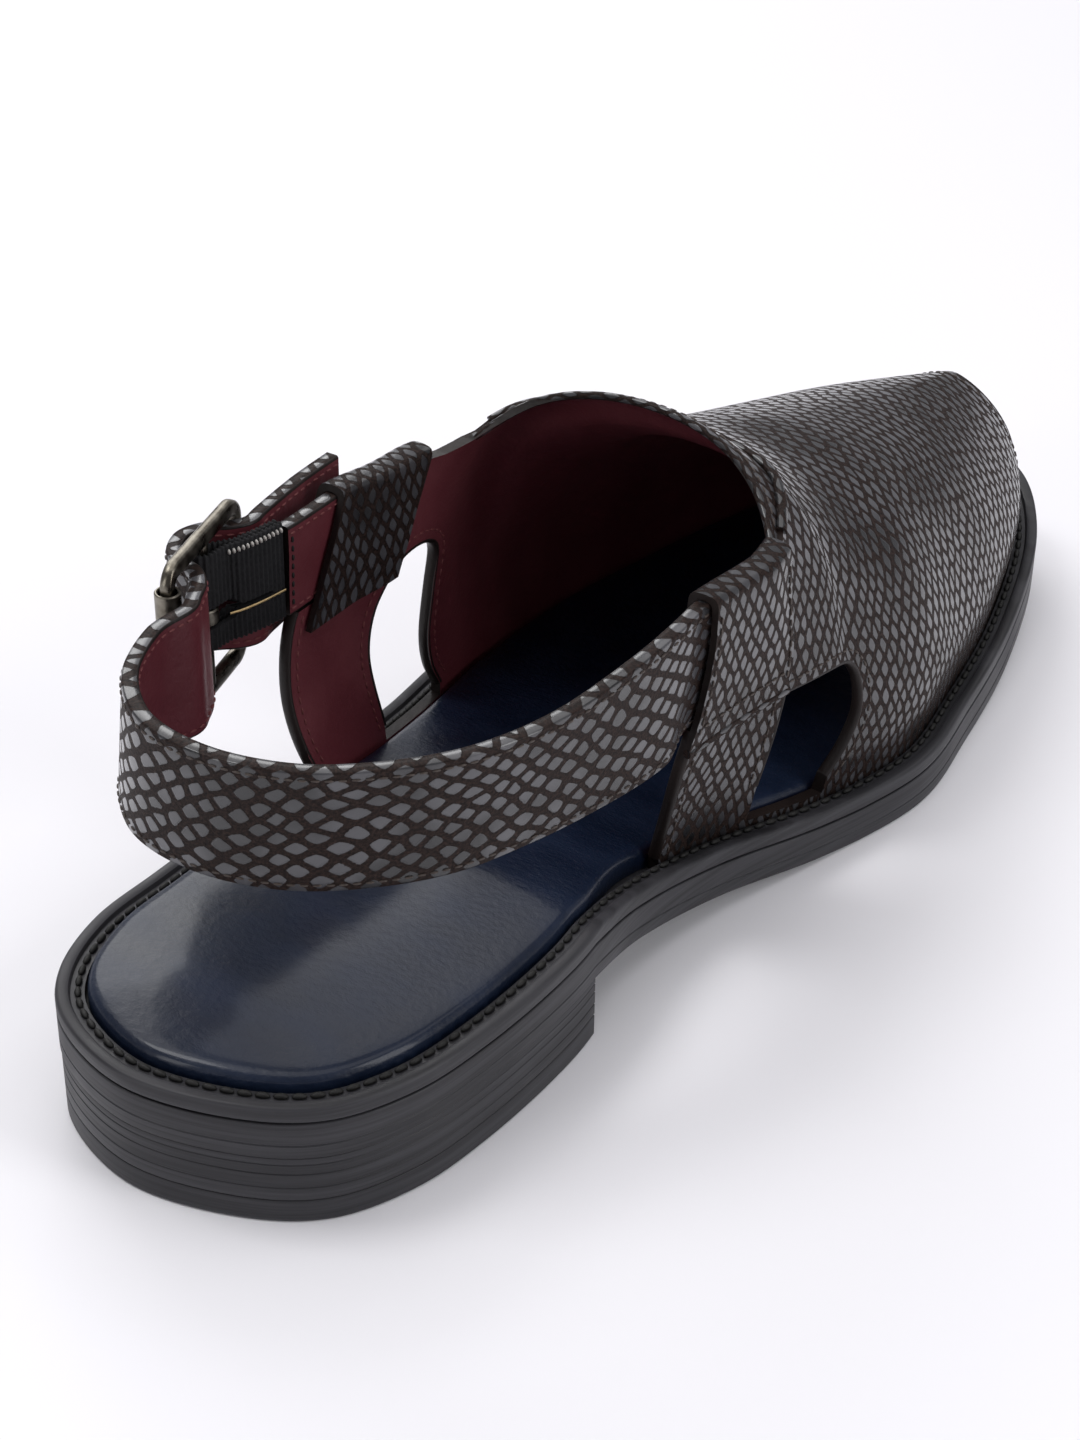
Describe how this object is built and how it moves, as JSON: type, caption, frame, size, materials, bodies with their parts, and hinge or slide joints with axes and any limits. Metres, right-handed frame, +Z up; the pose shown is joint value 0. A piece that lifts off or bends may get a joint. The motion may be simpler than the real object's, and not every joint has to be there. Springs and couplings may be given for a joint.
{
  "type": "peshawari chappal",
  "caption": "Left slingback chappal with an open toe, cut-out sides, stacked heel and a buckled heel strap.",
  "frame": {"origin": "middle of the heel's floor face", "axes": "+Z up, +Y towards the toe, +X towards the inner side of the left foot"},
  "size_m": [0.1043, 0.291, 0.0903],
  "materials": {
    "sole": "satin charcoal",
    "insole": "glossy navy",
    "snake": "glossy raised grey scales on dark brown",
    "lining": "matt burgundy",
    "elastic": "ribbed black webbing",
    "metal": "antique gunmetal"
  },
  "bodies": {
    "root": {"heel_top_piece": "sole", "heel_block": "sole", "outsole": "sole", "welt": "sole", "insole": "insole", "upper": "snake", "sleeve_inner": "snake", "sleeve_outer": "snake", "back_strap": "snake", "elastic_tab": "lining", "elastic": "elastic", "buckle_frame": "metal", "buckle_roller": "metal", "buckle_prong": "metal"}
  },
  "joints": []
}
